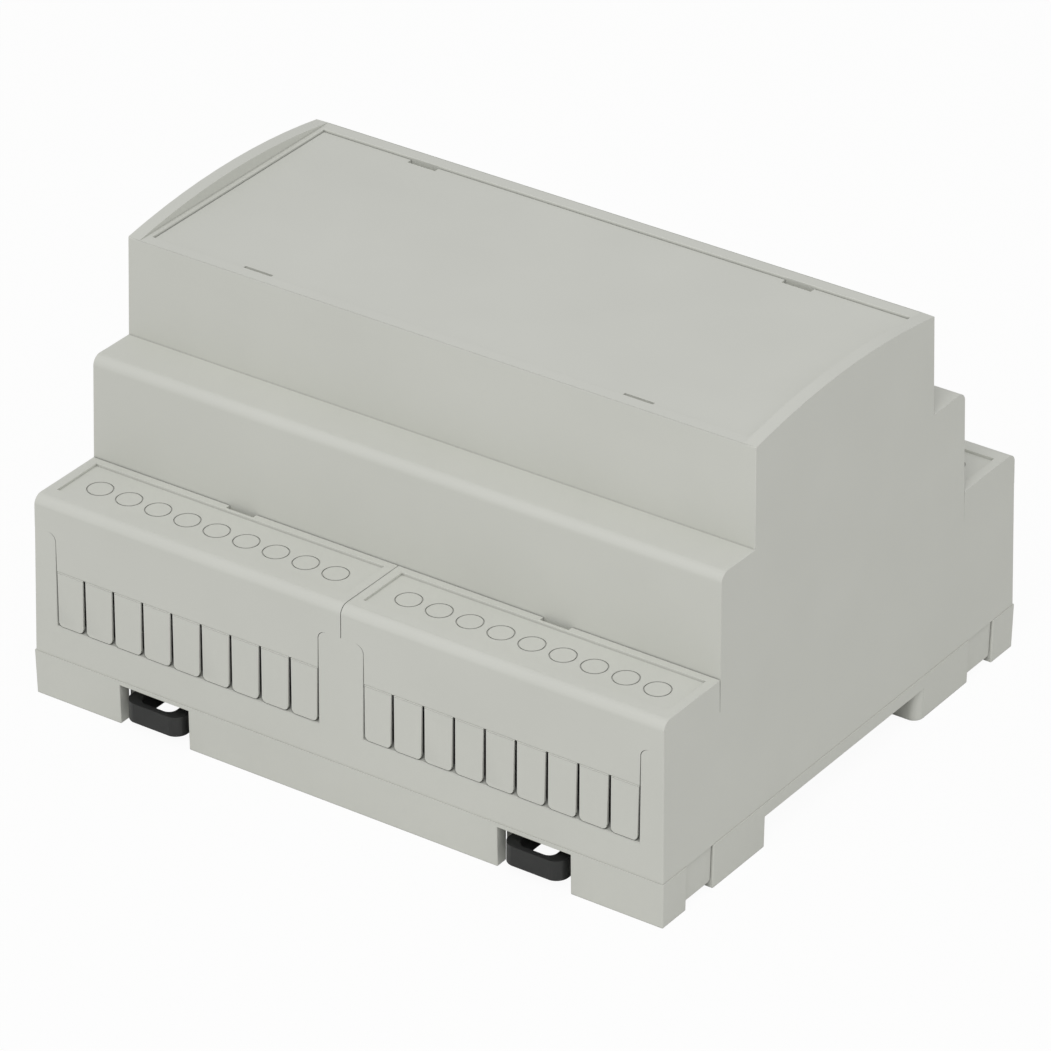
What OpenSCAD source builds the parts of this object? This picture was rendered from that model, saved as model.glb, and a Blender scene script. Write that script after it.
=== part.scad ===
// Six-module DIN rail enclosure: base tray, stepped housing, front panel,
// four terminal covers and two sliding rail clips.
// X runs along the rail, Y from front to rear, Z away from the rail.

/* [Housing] */
// Width of the housing where it meets the base
body_w = 106.2; // [88:0.1:142]
// Depth of the housing where it meets the base
body_d = 89.2; // [86:0.1:96]
// Wall thickness of the housing, covers and base
wall = 2; // [1.6:0.1:2.4]
// Draft angle of the moulded outer walls
draft = 1; // [0.2:0.1:1.4]
// Height of the parting line between base and housing
part_z = 7; // [6.8:0.1:8]
// Height of the terminal step, the top of the covers
step_z = 31.85; // [30:0.05:36]
// Height of the shoulder
shoulder_z = 47.8; // [44:0.1:52]
// Depth of the shoulder block at the terminal step
shoulder_d = 61.4; // [58:0.1:64]
// Height of the face rim at the front and rear
face_z = 63.1; // [60:0.1:70]
// Depth of the face block at the shoulder
face_d = 44.8; // [42:0.1:48]
// Rise of the arched end cheeks above the face rim
arch_rise = 1.9; // [1:0.1:3]
// Radius of the long outer edges of the steps
edge_r = 1.5; // [0.5:0.1:2]
// Height of the lower edge of the partition walls
partition_z = 24; // [18:0.5:25]

/* [Front panel] */
// Thickness of the front panel
panel_t = 1.9; // [1.5:0.1:2.5]
// How far the panel lies below the face rim
panel_sink = 0.4; // [0.2:0.1:1]
// Depth of the panel from front to rear
panel_d = 40; // [37:0.1:40.4]
// Thickness of the arched end cheeks beside the panel
cheek_t = 2; // [1.6:0.1:3]
// Width of the flat rim between a cheek and the end of the panel
end_rim = 0.7; // [0.3:0.1:1.5]
// Width of the seat ledge under the panel
seat_w = 1.6; // [1:0.1:2.5]
// Thickness of the seat ledge under the panel
seat_t = 1.6; // [1:0.1:2.5]
// Distance of a pry notch from the end of the panel
panel_notch_inset = 17.7; // [8:0.1:24]
// Length of a pry notch in the panel edge
panel_notch_w = 4.8; // [3:0.1:7]
// Depth of a pry notch in the panel edge
panel_notch_d = 0.9; // [0.6:0.1:1.2]
// Length of the locating legs under the panel
panel_leg_h = 6; // [4:0.5:9]
// Thickness of the locating legs
panel_leg_t = 1.2; // [0.8:0.1:1.8]

/* [Terminal covers] */
// Pitch of the terminals
pitch = 5.08; // [4.8:0.01:5.08]
// Height of the lower edge of the cover cheeks
cheek_z = 26.9; // [25.5:0.1:28.5]
// Height of the lower ends of the snap-off tabs
tab_z = 12.2; // [11.5:0.1:15]
// Height of the score line where a tab snaps off
score_z = 20.9; // [18:0.1:22.5]
// Half width of the centre post between two covers
post_half = 3.75; // [2.5:0.05:4]
// Width of the corner posts
corner_post_w = 3.95; // [2.6:0.05:4.2]
// Radius of the corners at the top of the posts
post_r = 1.3; // [0.5:0.1:2]
// Gap between a cover and what surrounds it
cover_gap = 0.12; // [0.05:0.01:0.3]
// Width of a slot between tabs at its top
slot_top_w = 0.42; // [0.3:0.02:0.8]
// Width of a slot between tabs at its lower end
slot_low_w = 0.68; // [0.5:0.02:1]
// Corner radius at the lower end of a tab
tab_r = 0.7; // [0.3:0.1:1]
// Thickness of a tab
tab_t = 1.2; // [0.8:0.1:1.8]
// Depth of the score line
score_d = 0.12; // [0.05:0.01:0.4]
// Depth of the recessed panel on top of a cover
recess_h = 0.4; // [0.3:0.1:1]
// Rim left round the recessed panel at its ends
recess_rim = 1.5; // [1.2:0.1:3]
// Distance of the recessed panel from the shoulder wall
recess_back = 1.3; // [1:0.05:2]
// Depth of the recessed panel from front to rear
recess_d = 9; // [8:0.1:9.6]
// Diameter of a screwdriver knock-out
knockout_d = 3.95; // [3:0.05:4.4]
// Distance of the knock-outs from the front edge of the recessed panel
knockout_inset = 4.15; // [2.8:0.05:5]
// Width of the ring groove round a knock-out
ring_w = 0.2; // [0.15:0.05:0.5]
// Width of the pry slot at the rear edge of a cover
pry_w = 4.7; // [3:0.1:8]
// Depth of the pry slot at the rear edge of a cover
pry_d = 0.8; // [0.4:0.05:0.9]

/* [Base] */
// How far the base stands proud of the housing
base_proud = 0.15; // [0:0.05:0.4]
// Height of the rail seat above the feet
seat_z = 4.85; // [4.6:0.05:5.4]
// Width of the rail that the base takes
rail_w = 35; // [34.8:0.1:35.2]
// Thickness of the rail flange
flange_t = 1; // [0.9:0.1:1.1]
// Distance from the rail centre to the front foot
front_foot_y = 19.85; // [19.2:0.05:21]
// Distance from the rail centre to the rear foot
rear_foot_y = 19.25; // [19:0.05:21]
// Corner radius of the rear foot at the channel
rear_foot_r = 1.5; // [0.5:0.1:2]
// Height of the underside of the foot pockets
pocket_z = 6.3; // [5.8:0.1:6.4]
// Height of the locating lip above the parting line
lip_h = 2.5; // [1.5:0.1:3.5]
// Thickness of the locating lip
lip_t = 1.2; // [0.8:0.1:1.8]
// Clearance between the locating lip and the housing
lip_gap = 0.15; // [0.1:0.05:0.3]
// Distance of a circuit board boss from the end of the housing
boss_inset_x = 8.1; // [7.5:0.1:20]
// Distance of a circuit board boss from the front or rear of the housing
boss_inset_y = 12.6; // [8:0.1:17]
// Diameter of a circuit board boss
boss_d = 6; // [5:0.1:8]
// Diameter of the pilot hole in a boss
pilot_d = 2.4; // [2:0.1:3]
// Height of the top of the bosses
boss_z = 12; // [10.6:0.1:14]
// Thickness of the stiffening ribs in the foot pockets
rib_t = 1.2; // [0.8:0.1:2]
// Height of the lower edge of the stiffening ribs
rib_z = 2; // [1:0.1:3]

/* [Housing tongues] */
// Width of a snap tongue
tongue_w = 6.1; // [4:0.1:8]
// Distance of a snap tongue from the front or rear of the housing
tongue_inset = 8.8; // [7:0.1:12]
// Height of the lower end of a tongue
tongue_z = 1.2; // [0.6:0.1:2.5]
// Thickness of a tongue
tongue_t = 1.5; // [1.2:0.1:1.8]
// How far a tongue lies behind the side of the housing
tongue_sink = 0.2; // [0.1:0.05:0.5]
// How far a tongue slopes inward to its lower end
tongue_lean = 0.15; // [0:0.05:0.6]
// Corner radius at the lower end of a tongue
tongue_r = 0.5; // [0.4:0.1:1.8]
// Gap between a tongue and its window in the base
tongue_gap = 0.2; // [0.1:0.05:0.4]

/* [Rail clips] */
// Distance of a clip from the end of the housing
clip_inset = 20.9; // [17:0.1:30]
// Width of a clip
clip_w = 9.8; // [8:0.1:10.2]
// Thickness of a clip
clip_t = 3.1; // [2.6:0.05:3.2]
// Running clearance round a clip
clip_gap = 0.1; // [0.08:0.01:0.2]
// How far a clip stands out of the front of the base
clip_out = 0.85; // [0.4:0.05:2]
// Corner radius of the clip's handle
clip_r = 2; // [1:0.1:2.4]
// Travel that frees the rail
clip_travel = 3; // [2:0.1:3.5]
// How far the clip grips behind the rail flange
clip_grip = 1.4; // [1:0.1:2]
// Width of the screwdriver slot
driver_w = 5.8; // [4.5:0.1:6.4]
// Length of the screwdriver slot
driver_l = 7.2; // [4.2:0.1:7.6]
// Corner radius of the screwdriver slot
driver_r = 1.3; // [0.5:0.1:2]
// Thickness of the bar in front of the screwdriver slot
driver_bar = 0.9; // [0.7:0.1:1.6]
// Width of the notch in the base that a clip slides in
notch_w = 12; // [11:0.1:13]
// Solid bridge between the screwdriver slot and the arms
arm_bridge = 1.8; // [1.4:0.1:4]
// Thickness of a flexible arm
arm_t = 1.2; // [0.8:0.1:1.5]
// Width of the slit beside a flexible arm
slit_w = 0.9; // [0.6:0.1:1.2]
// How far the barb of an arm stands out
barb = 0.7; // [0.4:0.1:0.9]

/* [Hidden] */
$fn = 48;

shell_grey = [0.737, 0.741, 0.714];
clip_black = [0.16, 0.16, 0.16];

slope = tan(draft);
over = 1;
far = 200;

// half width or half depth of a drafted wall at height z
function wall_at(half, z, z0) = half - (z - z0) * slope;

// half width of the outside at height z
function side_x(z) = wall_at(body_w / 2, z, part_z);
// half depth of the outside below the terminal step at height z
function low_y(z) = wall_at(body_d / 2, z, part_z);
// half depth of the shoulder block at height z
function mid_y(z) = wall_at(shoulder_d / 2, z, step_z);
// half depth of the face block at height z
function top_y(z) = wall_at(face_d / 2, z, shoulder_z);
// half width and half depth of the base at height z
function base_x(z) = body_w / 2 + base_proud - (part_z - z) * slope;
function base_y(z) = body_d / 2 + base_proud - (part_z - z) * slope;

panel_top = face_z - panel_sink;
panel_low = panel_top - panel_t;
seat_low = panel_low - seat_t;
cheek_x = side_x(face_z) - cheek_t;
panel_half_w = cheek_x - end_rim;
panel_gap = 0.1;
arch_half = top_y(face_z);
arch_r = (arch_half * arch_half + arch_rise * arch_rise) / (2 * arch_rise);
top_z = face_z + arch_rise;

flap_out = side_x(part_z) - corner_post_w;
flap_mid = (flap_out + post_half) / 2;
flap_y = low_y(cheek_z) - wall;
ways = round((flap_out - post_half) / pitch);
ledge_out = 1;
ledge_t = 1.2;
recess_z = step_z - recess_h;
recess_rear = shoulder_d / 2 + recess_back;
knockout_y = recess_rear + recess_d - knockout_inset;
tab_skin = 0.25;
tab_rear = low_y(score_z) - tab_t;

clip_x = body_w / 2 - clip_inset;
tongue_y = body_d / 2 - tongue_inset;
boss_x = body_w / 2 - boss_inset_x;
boss_y = body_d / 2 - boss_inset_y;
pocket_x = base_x(0) - wall;
pocket_y = base_y(0) - wall;
tray_x = side_x(part_z) - wall - lip_gap - (lip_h * slope);
tray_y = low_y(part_z) - wall - lip_gap - (lip_h * slope);
tray_z = pocket_z + 1.7;

clip_top = seat_z - clip_gap;
clip_low = clip_top - clip_t;
clip_front = base_y(clip_low) + clip_out;
clip_rear = rail_w / 2 + 0.3;
clip_tip = rail_w / 2 + 0.1 - clip_grip;
lip_top = seat_z - flange_t - 0.2;
rib_pitch = pocket_x * 0.39;
guide_w = 1.5;
guide_set = clip_w / 2 + clip_gap + 0.05;
guide_y = base_y(0) - wall - 1;
guide_low = clip_low - clip_gap - guide_w + 0.3;
arm_rear = front_foot_y + wall + 1;
arm_l = clip_front - driver_bar - driver_l - arm_bridge - slit_w - arm_rear;
barb_l = 1.6;

// a flat shape in (y, z) drawn out along X
module along_x(length) {
    rotate([90, 0, 90]) linear_extrude(height = length, center = true) children();
}

// a flat shape in (x, z) drawn out along Y
module along_y(length) {
    rotate([90, 0, 0]) linear_extrude(height = length, center = true) children();
}

// a box between two corners
module block(low, high) {
    translate(low) cube(high - low);
}

// children and their mirror images across the rail and along it
module both_y() {
    children();
    mirror([0, 1, 0]) children();
}

module both_x() {
    children();
    mirror([1, 0, 0]) children();
}

// a symmetric outline from its half profile of [half width, height] points
module symmetric_outline(half) {
    count = len(half);
    polygon(concat(half, [for (i = [count - 1 : -1 : 0]) [-half[i][0], half[i][1]]]));
}

// what a round edge of radius r takes off an outline's upper right corner
module corner_cut(corner, r) {
    difference() {
        translate([corner[0] - r, corner[1] - r]) square(r + over);
        translate([corner[0] - r, corner[1] - r]) circle(r);
    }
}

// both upper corners of a block rounded off
module round_top(half_at, z, r) {
    difference() {
        children();
        for (s = [1, -1]) scale([s, 1]) corner_cut([half_at, z], r);
    }
}

// outline of the low block with its rounded step edge, closed at top_h
module low_outline(foot, top_h) {
    symmetric_outline([[low_y(foot), foot], [low_y(top_h), top_h]]);
}

module terminal_outline() {
    r = min(edge_r, wall);
    round_top(low_y(step_z - r), step_z, r)
        symmetric_outline([[low_y(0), 0], [low_y(step_z), step_z]]);
}

module shoulder_outline() {
    round_top(mid_y(shoulder_z - edge_r), shoulder_z, edge_r)
        symmetric_outline([[mid_y(part_z), part_z], [mid_y(shoulder_z), shoulder_z]]);
}

// the face block ends in an arch, which stays only on the end cheeks
module face_outline() {
    intersection() {
        symmetric_outline([[top_y(part_z), part_z], [top_y(top_z), top_z + over]]);
        translate([0, top_z - arch_r]) circle(arch_r, $fn = 360);
    }
}

// the drafted ends of the enclosure, moved in by inset
module end_outline(inset) {
    symmetric_outline([[side_x(0) - inset, 0], [side_x(top_z + over) - inset, top_z + over]]);
}

// outside of the housing without its covers
module housing_form() {
    intersection() {
        along_x(far) union() {
            low_outline(part_z, cheek_z);
            shoulder_outline();
            face_outline();
        }
        along_y(far) end_outline(0);
    }
}

// room inside the housing, with the terminal bays open at the top
module housing_room() {
    intersection() {
        along_x(far) union() {
            symmetric_outline([[low_y(0) - wall, 0], [low_y(partition_z) - wall, partition_z]]);
            symmetric_outline([[mid_y(0) - wall, 0],
                               [mid_y(shoulder_z - wall) - wall, shoulder_z - wall]]);
            symmetric_outline([[top_y(0) - wall, 0], [top_y(seat_low) - wall, seat_low]]);
            for (s = [1, -1]) scale([s, 1])
                polygon([[mid_y(0), 0], [low_y(0) - wall, 0],
                         [low_y(step_z) - wall, step_z], [mid_y(step_z), step_z]]);
        }
        along_y(far) end_outline(wall);
    }
}

// window between the posts that a cover's flap fills, in (x, z)
module flap_outline(gap) {
    low = tab_z + gap;
    high = cheek_z;
    translate([post_half + gap, low])
        square([flap_out - post_half - 2 * gap, high - low + over]);
    for (side = [0, 1]) {
        edge = side == 0 ? post_half + gap : flap_out - gap;
        out = side == 0 ? -1 : 1;
        translate([edge, high]) scale([out, 1]) difference() {
            translate([-over, -post_r]) square([post_r + over, post_r + over]);
            translate([post_r, -post_r]) circle(post_r);
        }
    }
}

// the four snap tongues that reach down into the base
module tongues() {
    both_x() both_y() {
        intersection() {
            along_y(far) polygon([
                [side_x(part_z) - tongue_sink, part_z + over],
                [side_x(part_z) - tongue_sink, part_z],
                [side_x(part_z) - tongue_sink - tongue_lean, tongue_z],
                [side_x(part_z) - tongue_sink - tongue_lean - tongue_t, tongue_z],
                [side_x(part_z) - tongue_sink - tongue_t, part_z],
                [side_x(part_z) - tongue_sink - tongue_t, part_z + over]]);
            along_x(far) translate([-tongue_y, 0]) {
                translate([-tongue_w / 2, tongue_z + tongue_r])
                    square([tongue_w, part_z + over - tongue_z - tongue_r]);
                translate([-tongue_w / 2 + tongue_r, tongue_z])
                    square([tongue_w - 2 * tongue_r, tongue_r + over]);
                for (s = [1, -1])
                    translate([s * (tongue_w / 2 - tongue_r), tongue_z + tongue_r])
                        circle(tongue_r);
            }
        }
    }
}

// ledge on the shoulder wall that carries the rear edge of a cover
module cover_ledge() {
    half_w = side_x(step_z) - 1.5 * wall;
    high = step_z - wall;
    block([-half_w, -mid_y(step_z) - ledge_out, high - ledge_t],
          [half_w, -mid_y(step_z) + wall / 2, high]);
}

module housing() {
    color(shell_grey) {
        difference() {
            union() {
                difference() {
                    housing_form();
                    housing_room();
                }
                tongues();
                both_y() cover_ledge();
            }
            // windows for the flaps of the covers
            both_x() both_y()
                translate([0, -(flap_y + far / 2 - over / 2), 0])
                    along_y(far) flap_outline(0);
            // seat of the front panel between the cheeks
            block([-cheek_x, -top_y(face_z) - over, face_z],
                  [cheek_x, top_y(face_z) + over, top_z + over]);
            block([-panel_half_w, -panel_d / 2 - panel_gap, panel_low],
                  [panel_half_w, panel_d / 2 + panel_gap, top_z + over]);
            block([-panel_half_w + seat_w, -panel_d / 2 + seat_w, seat_low - over],
                  [panel_half_w - seat_w, panel_d / 2 - seat_w, panel_low + over]);
        }
    }
}

module front_panel() {
    half_w = panel_half_w - panel_gap;
    half_d = panel_d / 2;
    leg_y = half_d - seat_w - panel_gap;
    notch_x = half_w - panel_notch_inset;
    color(shell_grey) {
        difference() {
            block([-half_w, -half_d, panel_low], [half_w, half_d, panel_top]);
            both_x() both_y()
                translate([notch_x - panel_notch_w / 2, -half_d - over, panel_low - over])
                    cube([panel_notch_w, panel_notch_d + over, panel_t + 2 * over]);
        }
        both_x() both_y()
            block([notch_x - panel_notch_w, -leg_y, panel_low - panel_leg_h],
                  [notch_x + panel_notch_w, -leg_y + panel_leg_t, panel_low + panel_t / 2]);
    }
}

// one slot between two tabs, in (x, z), with the round corners of the tabs
module slot_outline() {
    low = tab_z + cover_gap;
    polygon([[-slot_top_w / 2, score_z], [slot_top_w / 2, score_z],
             [slot_low_w / 2, low - over], [-slot_low_w / 2, low - over]]);
    for (s = [1, -1]) scale([s, 1]) difference() {
        translate([0, low - over]) square([slot_low_w / 2 + tab_r, tab_r + over]);
        translate([slot_low_w / 2 + tab_r, low + tab_r]) circle(tab_r);
        translate([slot_low_w / 2 + tab_r - over / 2, low + tab_r])
            square([over, over]);
    }
}

// the cover over the front right terminals; the others are its mirror images
module cover() {
    inner_x = cover_gap / 2;
    difference() {
        intersection() {
            along_x(far) terminal_outline();
            along_y(far) end_outline(0);
            union() {
                block([inner_x, -low_y(0), cheek_z],
                      [side_x(0), -shoulder_d / 2 - cover_gap, step_z + over]);
                translate([0, -low_y(0), 0]) along_y(2 * (low_y(0) - flap_y))
                    flap_outline(cover_gap);
            }
        }
        // hollow behind the flap and under the top
        block([-over, -flap_y, 0],
              [side_x(step_z) - wall, -shoulder_d / 2 + over, step_z - wall]);
        // recessed panel and its knock-outs
        block([recess_rim, -recess_rear - recess_d, recess_z],
              [side_x(step_z) - recess_rim, -recess_rear, step_z + over]);
        for (i = [0 : ways - 1])
            translate([flap_mid + (i - (ways - 1) / 2) * pitch, -knockout_y, recess_z])
                knockout_groove();
        // thin snap-off tabs with their slots and score line
        block([post_half, -tab_rear, tab_z], [flap_out, -flap_y + over, score_z]);
        for (x = concat([post_half, flap_out], [for (i = [1 : ways - 1])
                        flap_mid + (i - ways / 2) * pitch])) {
            translate([x, -low_y(tab_z), 0]) along_y(far / 4) slot_outline();
            translate([x, 0, tab_z]) slot_relief();
        }
        translate([flap_mid, 0, 0]) along_x(flap_out - post_half)
            translate([-low_y(score_z), score_z]) circle(score_d, $fn = 4);
        // pry slot at the rear edge
        translate([flap_mid - pry_w / 2, -shoulder_d / 2 - cover_gap - pry_d, step_z - wall - over])
            cube([pry_w, pry_d + over, wall + 2 * over]);
    }
}

// chamfers behind a slot, which leave the tabs with thin edges
module slot_relief() {
    half = slot_low_w / 2;
    front = low_y(score_z) - tab_skin;
    slant = front - tab_rear + tab_skin;
    linear_extrude(height = score_z - tab_z)
        polygon([[-half, -front], [half, -front],
                 [half + slant, -front + slant], [-half - slant, -front + slant]]);
}

// ring groove round a knock-out
module knockout_groove() {
    difference() {
        translate([0, 0, -ring_w]) cylinder(h = ring_w + over, d = knockout_d);
        translate([0, 0, -ring_w - over])
            cylinder(h = ring_w + 3 * over, d = knockout_d - 2 * ring_w);
    }
}

module cover_front_right() { color(shell_grey) cover(); }
module cover_front_left() { color(shell_grey) mirror([1, 0, 0]) cover(); }
module cover_rear_right() { color(shell_grey) mirror([0, 1, 0]) cover(); }
module cover_rear_left() { color(shell_grey) mirror([1, 0, 0]) mirror([0, 1, 0]) cover(); }

// outside of the base
module base_form() {
    intersection() {
        along_x(far) symmetric_outline([[base_y(0), 0], [base_y(part_z), part_z]]);
        along_y(far) symmetric_outline([[base_x(0), 0], [base_x(part_z), part_z]]);
    }
}

// channel for the rail, with the rounded corners of the rear foot
module rail_channel() {
    block([-far, -front_foot_y, -over], [far, rear_foot_y, seat_z]);
    both_x() difference() {
        block([base_x(0) - rear_foot_r, rear_foot_y - over, -over],
              [base_x(part_z) + over, rear_foot_y + rear_foot_r, seat_z]);
        translate([base_x(0) - rear_foot_r, rear_foot_y + rear_foot_r, -2 * over])
            cylinder(h = seat_z + 4 * over, r = rear_foot_r);
    }
}

// window in the side of the base for one tongue
module tongue_window() {
    half = tongue_w / 2 + tongue_gap;
    block([pocket_x - wall, -tongue_y - half, -over],
          [base_x(part_z) + over, -tongue_y + half, part_z + over]);
}

// fixed hook behind the rear flange of the rail
module rail_hook() {
    along_x(notch_w) polygon([
        [rear_foot_y + 0.5, seat_z], [rear_foot_y + 0.5, clip_low],
        [clip_tip + 0.8, clip_low], [clip_tip, clip_low + 0.8], [clip_tip, lip_top],
        [rail_w / 2 + 0.2, lip_top], [rail_w / 2 + 0.2, seat_z]]);
}

// rails on both sides of a clip that guide it and keep it from dropping out
module clip_guides() {
    both_x() difference() {
        union() {
            block([guide_set, -guide_y, guide_low],
                  [guide_set + guide_w, -front_foot_y - wall / 2, pocket_z + 0.5]);
            block([guide_set - 1, -guide_y, guide_low],
                  [guide_set + guide_w / 2, -front_foot_y - wall / 2, clip_low - clip_gap]);
            block([guide_set - 1, -guide_y, clip_top + clip_gap],
                  [guide_set + guide_w / 2, -front_foot_y - wall / 2, pocket_z + 0.5]);
        }
        // window that the barb of the clip travels in
        block([guide_set - 0.2, -arm_rear - arm_l - clip_travel - 0.4, clip_low - clip_gap],
              [guide_set + guide_w + over, -arm_rear - arm_l + barb_l + 0.4,
               clip_top + clip_gap]);
    }
}

// stiffening rib in a foot pocket
module rib(x, front, rear) {
    block([x - rib_t / 2, front, rib_z], [x + rib_t / 2, rear, pocket_z + 0.5]);
}

module base() {
    boss_low = part_z - 0.5;
    color(shell_grey) difference() {
        union() {
            difference() {
                base_form();
                rail_channel();
                for (s = [1, -1])
                    block([-pocket_x, s > 0 ? rear_foot_y + wall : -pocket_y, -over],
                          [pocket_x, s > 0 ? pocket_y : -front_foot_y - wall, pocket_z]);
            }
            // raised floor over the feet and the lip that centres the housing
            block([-tray_x, -tray_y, pocket_z], [tray_x, -front_foot_y - wall / 2, tray_z]);
            block([-tray_x, rear_foot_y + wall / 2, pocket_z], [tray_x, tray_y, tray_z]);
            difference() {
                block([-tray_x, -tray_y, pocket_z], [tray_x, tray_y, part_z + lip_h]);
                block([-tray_x + lip_t, -tray_y + lip_t, 0],
                      [tray_x - lip_t, tray_y - lip_t, part_z + lip_h + over]);
            }
            // circuit board bosses
            both_x() both_y()
                translate([boss_x, boss_y, boss_low])
                    cylinder(h = boss_z - boss_low, d = boss_d);
            // hooks and guides in line with the clips
            for (s = [1, -1]) translate([s * clip_x, 0, 0]) {
                rail_hook();
                clip_guides();
            }
            // ribs in the foot pockets
            for (i = [-1 : 1])
                rib(i * rib_pitch, -pocket_y - 0.5, -front_foot_y - wall / 2);
            for (i = [-2 : 2])
                rib(i * rib_pitch, rear_foot_y + wall / 2, pocket_y + 0.5);
        }
        both_x() both_y() tongue_window();
        for (s = [1, -1]) translate([s * clip_x, 0, 0]) {
            // notch in the front wall and slot through the foot's rear wall
            block([-notch_w / 2, -base_y(part_z) - over, -over],
                  [notch_w / 2, -pocket_y + 0.2, pocket_z]);
            block([-guide_set, -front_foot_y - wall - over, clip_low - clip_gap],
                  [guide_set, -front_foot_y + over, clip_top + clip_gap]);
        }
        both_x() both_y()
            translate([boss_x, boss_y, part_z + 1.5])
                cylinder(h = boss_z, d = pilot_d);
    }
}

// plan of a clip: handle with round corners, body and two slits beside its arms
module clip_plan() {
    half = clip_w / 2;
    difference() {
        union() {
            translate([-half, -clip_front + clip_r]) square([clip_w, clip_front - clip_r - clip_rear]);
            translate([-half + clip_r, -clip_front]) square([clip_w - 2 * clip_r, clip_r + over]);
            for (s = [1, -1])
                translate([s * (half - clip_r), -clip_front + clip_r]) circle(clip_r);
            // barbs of the arms
            for (s = [1, -1]) scale([s, 1])
                polygon([[half - arm_t / 2, -arm_rear - arm_l], [half + barb, -arm_rear - arm_l],
                         [half, -arm_rear - arm_l + barb_l],
                         [half - arm_t / 2, -arm_rear - arm_l + barb_l]]);
        }
        // screwdriver slot
        translate([-driver_w / 2, -clip_front + driver_bar]) {
            translate([driver_r, 0]) square([driver_w - 2 * driver_r, driver_l]);
            translate([0, driver_r]) square([driver_w, driver_l - 2 * driver_r]);
            for (x = [driver_r, driver_w - driver_r], y = [driver_r, driver_l - driver_r])
                translate([x, y]) circle(driver_r);
        }
        // slits that free the arms, open at their front ends
        for (s = [1, -1]) scale([s, 1]) {
            translate([half - arm_t - slit_w, -arm_rear - arm_l - slit_w])
                square([slit_w, arm_l + slit_w]);
            translate([half - arm_t - slit_w, -arm_rear - arm_l - slit_w])
                square([arm_t + slit_w + over, slit_w]);
        }
    }
}

module clip() {
    color(clip_black) {
        translate([0, 0, clip_low]) linear_extrude(height = clip_t) clip_plan();
        // wedge that grips behind the front flange of the rail
        along_x(clip_w) polygon([
            [-clip_rear - 1, clip_low], [-clip_tip - 1, clip_low], [-clip_tip, clip_low + 0.9],
            [-clip_tip, lip_top], [-clip_rear - 1, lip_top]]);
    }
}

module clip_left() { translate([-clip_x, 0, 0]) clip(); }
module clip_right() { translate([clip_x, 0, 0]) clip(); }

base();
housing();
front_panel();
cover_front_left();
cover_front_right();
cover_rear_left();
cover_rear_right();
clip_left();
clip_right();
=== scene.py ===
import math
import bmesh
import bpy
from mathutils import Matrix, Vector
from mathutils.bvhtree import BVHTree


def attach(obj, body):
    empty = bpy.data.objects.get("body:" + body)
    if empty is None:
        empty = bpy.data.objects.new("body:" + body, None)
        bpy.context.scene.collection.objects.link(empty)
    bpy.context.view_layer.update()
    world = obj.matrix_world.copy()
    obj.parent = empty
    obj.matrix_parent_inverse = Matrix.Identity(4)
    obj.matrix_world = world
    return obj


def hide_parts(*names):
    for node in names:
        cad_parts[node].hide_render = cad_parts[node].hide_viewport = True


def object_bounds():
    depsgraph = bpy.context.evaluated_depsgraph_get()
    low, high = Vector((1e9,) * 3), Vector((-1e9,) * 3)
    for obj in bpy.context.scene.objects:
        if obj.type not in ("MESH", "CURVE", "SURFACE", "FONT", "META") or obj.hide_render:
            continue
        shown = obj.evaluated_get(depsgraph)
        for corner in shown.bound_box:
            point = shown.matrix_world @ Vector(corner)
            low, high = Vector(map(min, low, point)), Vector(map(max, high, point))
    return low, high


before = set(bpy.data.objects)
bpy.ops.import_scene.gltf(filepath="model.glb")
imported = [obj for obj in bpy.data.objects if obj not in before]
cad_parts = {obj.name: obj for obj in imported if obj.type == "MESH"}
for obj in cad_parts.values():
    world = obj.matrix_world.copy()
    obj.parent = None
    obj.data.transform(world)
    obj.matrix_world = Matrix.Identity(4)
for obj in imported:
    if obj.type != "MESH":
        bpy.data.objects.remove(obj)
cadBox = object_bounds()
print("frame loaded:", ", ".join(sorted(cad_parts)))

mm = 0.001
white = (1, 1, 1, 1)


def linearColour(hexCode):
    # sRGB hex to linear RGBA
    parts = [int(hexCode[i:i + 2], 16) / 255 for i in (1, 3, 5)]
    return [c / 12.92 if c <= 0.04045 else ((c + 0.055) / 1.055) ** 2.4 for c in parts] + [1.0]


def addNode(tree, kind, settings=None, **links):
    # one node with its settings; a link is a socket to read from, anything else is a value
    node = tree.nodes.new(kind)
    for name, value in (settings or {}).items():
        setattr(node, name, value)
    for name, value in links.items():
        socket = node.inputs[name.replace("_", " ")]
        if isinstance(value, bpy.types.NodeSocket):
            tree.links.new(value, socket)
        else:
            socket.default_value = value
    return node


def mixedShader(tree, share, first, second):
    # first where the share is 0, second where it is 1
    mixed = addNode(tree, "ShaderNodeMixShader", Fac=share)
    tree.links.new(first, mixed.inputs[1])
    tree.links.new(second, mixed.inputs[2])
    return mixed.outputs["Shader"]


def emptyMaterial(name):
    material = bpy.data.materials.new(name)
    material.use_nodes = True
    material.node_tree.nodes.clear()
    return material


# Materials

mouldedAbs = {
    "colour": "#D4D5CE",
    "cloud": "#D1D2CB",
    "cloudSize": 18 * mm,    # melt flow shows as very soft clouds
    "grain": 0.32 * mm,      # spark-eroded grain is 0.05 mm; drawn coarser so that it shows
    "grainDepth": 0.006 * mm,
    "roughness": 0.56,
    "ior": 1.54,
    "seam": 0.55 * mm,       # how far the painted shade in joints, grooves, corners and recesses reaches
    # colour factor of the painted shade in the tightest creases
    "paintedCreaseShade": 0.55,
}

mouldedNylon = {
    "colour": "#232424",
    "cloud": "#292A2A",
    "cloudSize": 6 * mm,
    "grain": 0.25 * mm,      # coarser than the real 0.05 mm, as above
    "grainDepth": 0.008 * mm,
    "roughness": 0.42,
    "ior": 1.53,
    # reach and depth of the painted shade in joints, grooves and corners
    "seam": 0.8 * mm,
    "paintedCreaseShade": 0.7,
}

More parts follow.
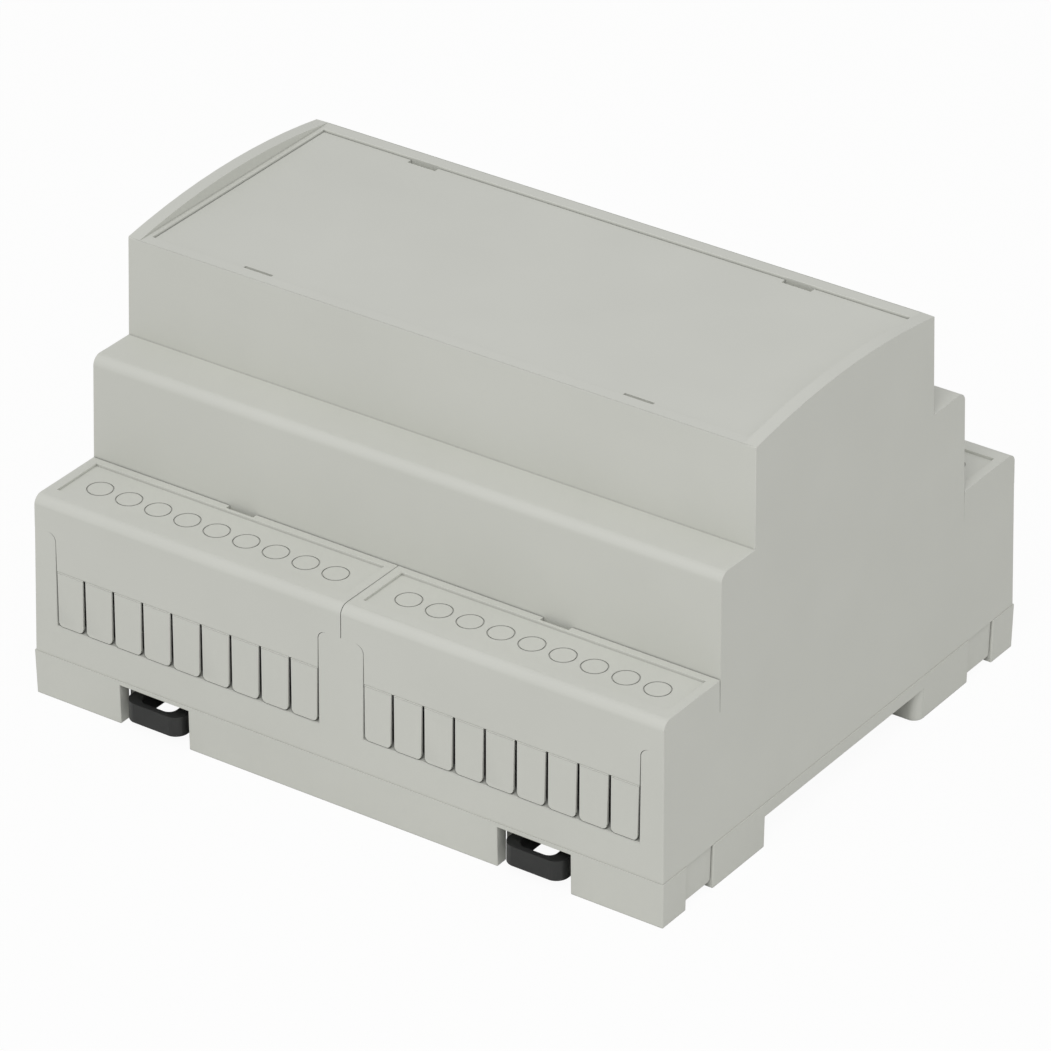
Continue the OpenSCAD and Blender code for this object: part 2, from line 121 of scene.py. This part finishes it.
plasticPattern = {
    "cloudRange": (0.3, 0.7),
    "cloudDetail": 2.0,
    "cloudRoughness": 0.5,
    "grainDetail": 3.0,
    "grainRoughness": 0.6,
    "grainStrength": 0.35,
    "sheenSpread": 0.05,
    "closed": 0.2,           # openness of a place that gets the full painted shade
    "open": 0.78,            # openness of a place that gets no painted shade
    # samples of the occlusion that sets the painted shade
    "paintedShadeSamples": 8,
}


def mouldedPlastic(name, values, pattern):
    # injection-moulded plastic: an even body colour with faint flow clouds and a fine matt grain, and shade
    # painted into its joints, grooves and corners
    material = emptyMaterial(name)
    tree = material.node_tree
    place = addNode(tree, "ShaderNodeTexCoord").outputs["Object"]
    cloud = addNode(tree, "ShaderNodeTexNoise", Vector=place, Scale=1 / values["cloudSize"],
                    Detail=pattern["cloudDetail"], Roughness=pattern["cloudRoughness"])
    colour = addNode(tree, "ShaderNodeValToRGB", Fac=cloud.outputs["Fac"])
    for stop, position, shade in zip(colour.color_ramp.elements, pattern["cloudRange"], ("cloud", "colour")):
        stop.position = position
        stop.color = linearColour(values[shade])
    grain = addNode(tree, "ShaderNodeTexNoise", Vector=place, Scale=1 / values["grain"],
                    Detail=pattern["grainDetail"], Roughness=pattern["grainRoughness"])
    sheen = addNode(tree, "ShaderNodeMapRange", Value=grain.outputs["Fac"],
                    To_Min=values["roughness"] - pattern["sheenSpread"],
                    To_Max=values["roughness"] + pattern["sheenSpread"])
    bump = addNode(tree, "ShaderNodeBump", Height=grain.outputs["Fac"], Strength=pattern["grainStrength"],
                   Distance=values["grainDepth"])
    # painted shade: the body colour is darkened where ambient occlusion finds joints, grooves, corners and
    # recesses close by
    corner = addNode(tree, "ShaderNodeAmbientOcclusion", {"samples": pattern["paintedShadeSamples"]},
                     Distance=values["seam"])
    shade = addNode(tree, "ShaderNodeMapRange", Value=corner.outputs["AO"], From_Min=pattern["closed"],
                    From_Max=pattern["open"], To_Min=values["paintedCreaseShade"], To_Max=1.0)
    body = addNode(tree, "ShaderNodeVectorMath", {"operation": "SCALE"}, Scale=shade.outputs["Result"])
    tree.links.new(colour.outputs["Color"], body.inputs[0])
    shader = addNode(tree, "ShaderNodeBsdfPrincipled", Base_Color=body.outputs["Vector"],
                     Roughness=sheen.outputs["Result"], Normal=bump.outputs["Normal"], IOR=values["ior"])
    addNode(tree, "ShaderNodeOutputMaterial", Surface=shader.outputs["BSDF"])
    return material


# soft even light, no hard glints
shellAbs = mouldedPlastic("abs_moulded_fine_matt", mouldedAbs, plasticPattern)
# dark, with a dull shine on its edges
clipNylon = mouldedPlastic("nylon_moulded_satin", mouldedNylon, plasticPattern)
print("materials made")


# Moulded pieces

shellPieces = {
    "nodes": ("base", "housing", "front_panel"),
    "material": shellAbs,
    "edge": 0.14 * mm,
    "shortest": 1.6 * mm,
}

coverPieces = {
    "nodes": ("cover_front_left", "cover_front_right", "cover_rear_left", "cover_rear_right"),
    "material": shellAbs,
    "edge": 0.08 * mm,
    "shortest": 1.6 * mm,
}

clipPieces = {
    "nodes": ("clip_left", "clip_right"),
    "material": clipNylon,
    "edge": 0.18 * mm,
    "shortest": 0.5 * mm,
}

edgeRules = {
    "sameCorner": 0.002 * mm,
    "samePlane": math.radians(0.4),
    "sharp": math.radians(40),
    "near": 0.05 * mm,
    "seams": (7.0 * mm, 26.9 * mm),    # parting line of the base, and the lower edge of the cover cheeks
    "cheekFoot": 63.1 * mm,
    "segments": 2,
}

roundRules = {
    "bendFrom": math.radians(0.8),
    "bendTo": math.radians(40),
    "longEdge": 0.6,                   # share of the face's longest edge
    "smallArea": 5 * mm * mm,
    "slimness": 0.03,                  # area over the square of the longest edge
    "alike": 0.64,                     # cosine of the angle within which normals are blended
}


def outsideTree(nodes):
    # one search tree of every solid at rest, to tell an outer edge from one inside the housing
    corners, faces = [], []
    for node in nodes:
        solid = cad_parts[node]
        first = len(corners)
        corners += [solid.matrix_world @ v.co for v in solid.data.vertices]
        faces += [[first + i for i in face.vertices] for face in solid.data.polygons]
    return BVHTree.FromPolygons(corners, faces)


def isOuter(edge, place, tree):
    # an edge is outside when a ray that leaves it between its two faces meets nothing
    out = (place.to_3x3() @ (edge.link_faces[0].normal + edge.link_faces[1].normal)).normalized()
    middle = place @ ((edge.verts[0].co + edge.verts[1].co) / 2)
    return tree.ray_cast(middle + out * edgeRules["near"], out)[0] is None


def staysCrisp(edge, place):
    # mouldings meet face to face at a seam, and the arched cheeks run out in a point at their ends
    heights = [(place @ v.co).z for v in edge.verts]
    onSeam = any(all(abs(h - seam) < edgeRules["near"] for h in heights) for seam in edgeRules["seams"])
    return onSeam or any(h > edgeRules["cheekFoot"] + edgeRules["near"] for h in heights)


def markEdges(form, place, shortest, tree):
    # gives full bevel weight to the sharp outer edges, and returns how many there are
    weight = form.edges.layers.float.new("bevel_weight_edge")
    broken = 0
    for edge in form.edges:
        if len(edge.link_faces) != 2 or edge.calc_length() <= shortest:
            continue
        if edge.calc_face_angle_signed(0) < edgeRules["sharp"]:
            continue
        if isOuter(edge, place, tree) and not staysCrisp(edge, place):
            edge[weight] = 1.0
            broken += 1
    return broken


def isRound(face):
    # a slim or small face that bends gently into its neighbours along two long edges
    longest = max(edge.calc_length() for edge in face.edges)
    bends = [edge for edge in face.edges if len(edge.link_faces) == 2
             and roundRules["bendFrom"] < edge.calc_face_angle(0) < roundRules["bendTo"]
             and edge.calc_length() > roundRules["longEdge"] * longest]
    slim = face.calc_area() < max(roundRules["smallArea"], roundRules["slimness"] * longest * longest)
    return len(bends) > 1 and slim


def blendedNormal(face, vert, areas, rounded):
    # at a corner of a round face: the normal of the largest flat face beside it, else the mean
    near = [other for other in vert.link_faces if other.normal.dot(face.normal) > roundRules["alike"]]
    flat = [other for other in near if not rounded[other.index]]
    if flat:
        return max(flat, key=lambda other: areas[other.index]).normal.copy()
    return sum((other.normal * areas[other.index] for other in near), Vector()).normalized()


def steadyNormals(piece):
    # flat faces keep their own normal, and round ones run smoothly into them
    mesh = bpy.data.meshes.new_from_object(piece.evaluated_get(bpy.context.evaluated_depsgraph_get()))
    mesh.name = piece.name
    piece.modifiers.clear()
    piece.data = mesh
    form = bmesh.new()
    form.from_mesh(mesh)
    form.normal_update()
    areas = [face.calc_area() for face in form.faces]
    rounded = [isRound(face) for face in form.faces]
    normals = []
    for face in form.faces:
        for loop in face.loops:
            if rounded[face.index]:
                normals.append(blendedNormal(face, loop.vert, areas, rounded))
            else:
                normals.append(face.normal.copy())
    form.free()
    mesh.normals_split_custom_set(normals)


def mouldedPiece(node, values, tree):
    # the node's solid with its faces made whole again and its outer edges broken as a mould leaves them
    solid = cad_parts[node]
    mesh = solid.data.copy()
    mesh.name = node + "_moulding"
    form = bmesh.new()
    form.from_mesh(mesh)
    bmesh.ops.remove_doubles(form, verts=form.verts, dist=edgeRules["sameCorner"])
    bmesh.ops.dissolve_limit(form, angle_limit=edgeRules["samePlane"], verts=form.verts, edges=form.edges)
    form.normal_update()
    broken = markEdges(form, solid.matrix_world.copy(), values["shortest"], tree)
    for face in form.faces:
        face.smooth = True
    form.to_mesh(mesh)
    form.free()
    mesh.materials.clear()
    mesh.materials.append(values["material"])
    piece = bpy.data.objects.new(node + "_moulding", mesh)
    bpy.context.scene.collection.objects.link(piece)
    bevel = piece.modifiers.new("broken edges", "BEVEL")
    bevel.limit_method = "WEIGHT"
    bevel.width = values["edge"]
    bevel.segments = edgeRules["segments"]
    bevel.use_clamp_overlap = False
    bevel.loop_slide = False
    bevel.miter_outer = "MITER_SHARP"
    steadyNormals(piece)
    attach(piece, node)
    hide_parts(node)
    print(node, "made:", broken, "edges broken")


pieceGroups = (shellPieces, coverPieces, clipPieces)
outside = outsideTree([node for group in pieceGroups for node in group["nodes"]])
for group in pieceGroups:
    for node in group["nodes"]:
        mouldedPiece(node, group, outside)


# Floor, light and camera

floorValues = {
    "half": 3.0,
    "colour": "#E4E4E2",
    "shadowShare": 0.05,
    "drop": 0.02 * mm,       # keeps it clear of the soles of the feet
}


def studioFloor(values):
    form = bmesh.new()
    half = values["half"]
    corners = [form.verts.new((x * half, y * half, -values["drop"]))
               for x, y in ((-1, -1), (1, -1), (1, 1), (-1, 1))]
    form.faces.new(corners)
    mesh = bpy.data.meshes.new("studio_floor")
    form.to_mesh(mesh)
    form.free()
    material = emptyMaterial("white_paper_sweep")      # matt paper, lit evenly
    tree = material.node_tree
    paper = addNode(tree, "ShaderNodeBsdfDiffuse", Color=linearColour(values["colour"]))
    glow = addNode(tree, "ShaderNodeEmission", Color=white, Strength=1.0)
    seen = addNode(tree, "ShaderNodeLightPath").outputs["Is Camera Ray"]
    share = addNode(tree, "ShaderNodeMath", {"operation": "MULTIPLY"})
    tree.links.new(seen, share.inputs[0])
    share.inputs[1].default_value = 1 - values["shadowShare"]
    top = mixedShader(tree, share.outputs["Value"], paper.outputs["BSDF"], glow.outputs["Emission"])
    # clear from below, so that the underside of the enclosure can be looked at
    under = addNode(tree, "ShaderNodeNewGeometry").outputs["Backfacing"]
    clear = addNode(tree, "ShaderNodeBsdfTransparent", Color=white)
    addNode(tree, "ShaderNodeOutputMaterial", Surface=mixedShader(tree, under, top, clear.outputs["BSDF"]))
    mesh.materials.append(material)
    floor = bpy.data.objects.new("studio_floor", mesh)
    bpy.context.scene.collection.objects.link(floor)


lightValues = {
    "sky": 0.54,
    "keyPower": 9.8,
    "keySize": 0.9,
    "keyDistance": 1.6,
    "keyDirection": (0.28, -0.54, 0.784),
}


def studioLights(values):
    world = bpy.data.worlds.new("studio")
    bpy.context.scene.world = world
    world.use_nodes = True
    tree = world.node_tree
    tree.nodes.clear()
    sky = addNode(tree, "ShaderNodeBackground", Color=white, Strength=values["sky"])
    backdrop = addNode(tree, "ShaderNodeBackground", Color=white, Strength=1.0)
    seen = addNode(tree, "ShaderNodeLightPath").outputs["Is Camera Ray"]
    addNode(tree, "ShaderNodeOutputWorld", Surface=mixedShader(
        tree, seen, sky.outputs["Background"], backdrop.outputs["Background"]))
    middle = (Vector(cadBox[0]) + Vector(cadBox[1])) / 2
    direction = Vector(values["keyDirection"]).normalized()
    lamp = bpy.data.lights.new("key", "AREA")
    lamp.shape = "DISK"
    lamp.size = values["keySize"]
    lamp.energy = values["keyPower"]
    key = bpy.data.objects.new("key", lamp)
    key.location = middle + direction * values["keyDistance"]
    key.rotation_euler = direction.to_track_quat("Z", "Y").to_euler()
    bpy.context.scene.collection.objects.link(key)


cameraValues = {
    "place": (0.482268, -0.692428, 0.511986),
    "turn": (59.935, 0.0, 34.873),
    "lens": 238.17,
    "sensor": 36.0,
    "reach": 20,
}


def studioCamera(values):
    data = bpy.data.cameras.new("camera")
    data.lens = values["lens"]
    data.sensor_width = values["sensor"]
    data.clip_end = values["reach"]
    camera = bpy.data.objects.new("camera", data)
    camera.location = values["place"]
    camera.rotation_euler = [math.radians(a) for a in values["turn"]]
    bpy.context.scene.collection.objects.link(camera)
    bpy.context.scene.camera = camera


studioFloor(floorValues)
studioLights(lightValues)
studioCamera(cameraValues)
bpy.context.scene.view_settings.view_transform = "Standard"
print("studio set")
